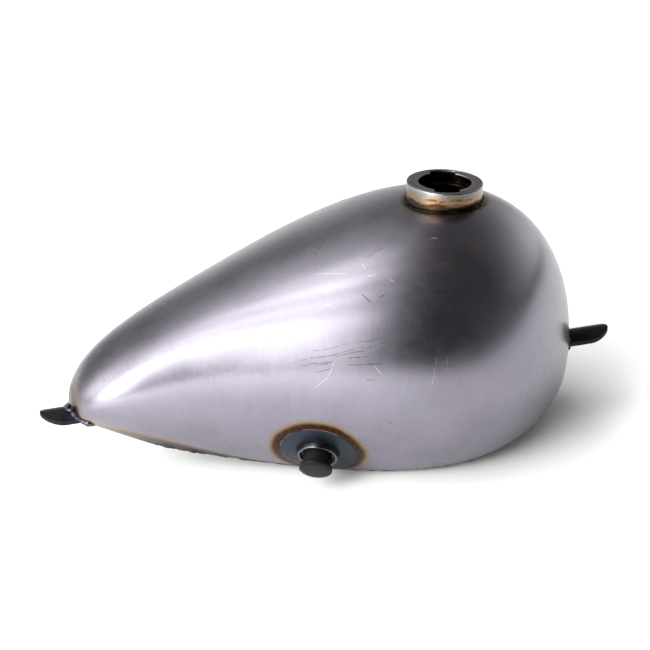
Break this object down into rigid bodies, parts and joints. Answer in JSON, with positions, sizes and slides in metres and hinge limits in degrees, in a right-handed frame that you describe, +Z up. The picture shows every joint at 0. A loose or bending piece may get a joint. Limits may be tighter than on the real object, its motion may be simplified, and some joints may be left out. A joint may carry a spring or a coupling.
{
  "type": "motorcycle fuel tank",
  "caption": "Teardrop sheet-steel motorcycle fuel tank with a bayonet filler neck, a plugged fuel bung and saddle tabs that sit on the frame's backbone tube.",
  "frame": {"origin": "on the surface the tank stands on, under the middle of its overall length and width", "axes": "+X to the front of the motorcycle (the wide end, with the filler), +Y to its left, +Z up; the backbone tube runs along X"},
  "size_m": [0.471, 0.2506, 0.2096],
  "materials": {
    "skin_steel": "bare satin sheet steel",
    "tray_steel": "bare steel, dulled by welding heat",
    "collar_steel": "bare turned steel with straw and brown heat tint",
    "bung_steel": "bare turned steel",
    "tab_steel": "satin black",
    "weld_metal": "rippled weld bead, dark with scale",
    "black_plastic": "moulded black plastic"
  },
  "bodies": {
    "tank": {"left_shell": "skin_steel", "right_shell": "skin_steel", "crown_weld": "skin_steel", "left_tray": "tray_steel", "right_tray": "tray_steel", "tube_channel": "tray_steel", "left_seam_weld": "weld_metal", "right_seam_weld": "weld_metal", "neck_weld": "weld_metal", "bung_weld": "weld_metal", "front_tab_weld": "weld_metal", "rear_tab_weld": "weld_metal", "front_tab": "tab_steel", "rear_tab": "tab_steel", "filler_collar": "collar_steel", "bayonet_ring": "collar_steel", "fuel_bung": "bung_steel"},
    "plug": {"bung_plug": "black_plastic"}
  },
  "joints": [
    {"name": "plug_pull", "type": "slide", "parent": "tank", "child": "plug", "axis": [-0.3537, -0.7684, -0.5333], "range_m": [0, 0.016]}
  ]
}
